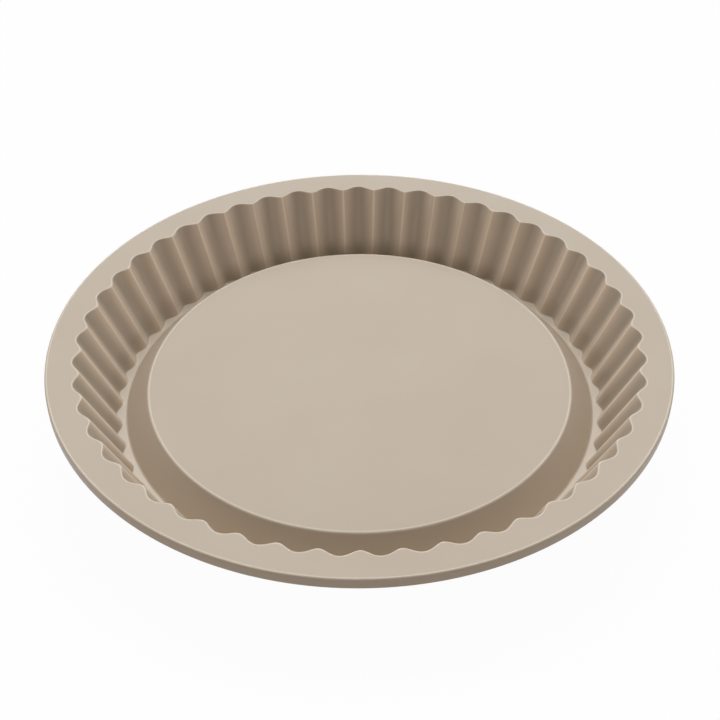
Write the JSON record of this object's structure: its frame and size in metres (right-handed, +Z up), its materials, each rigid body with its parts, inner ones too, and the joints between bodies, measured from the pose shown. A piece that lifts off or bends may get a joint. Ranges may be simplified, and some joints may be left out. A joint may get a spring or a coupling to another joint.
{
  "type": "silicone tart mould",
  "caption": "Round one-piece silicone tart mould with a flat rim, a fluted leaning side wall, a narrow gutter floor and a raised flat centre that leaves a well in the baked base.",
  "frame": {"origin": "on the table, at the middle of the ring that the mould stands on", "axes": "+Z up along the mould's axis, out of its open side; -Y towards the viewer of the picture"},
  "size_m": [0.24, 0.24, 0.03],
  "materials": {
    "silicone": "matte moulded baking silicone, warm grey-beige"
  },
  "bodies": {
    "root": {"rim_flange": "silicone", "fluted_side_wall": "silicone", "foot_ring": "silicone", "centre_side": "silicone", "centre_plateau": "silicone"}
  },
  "joints": []
}
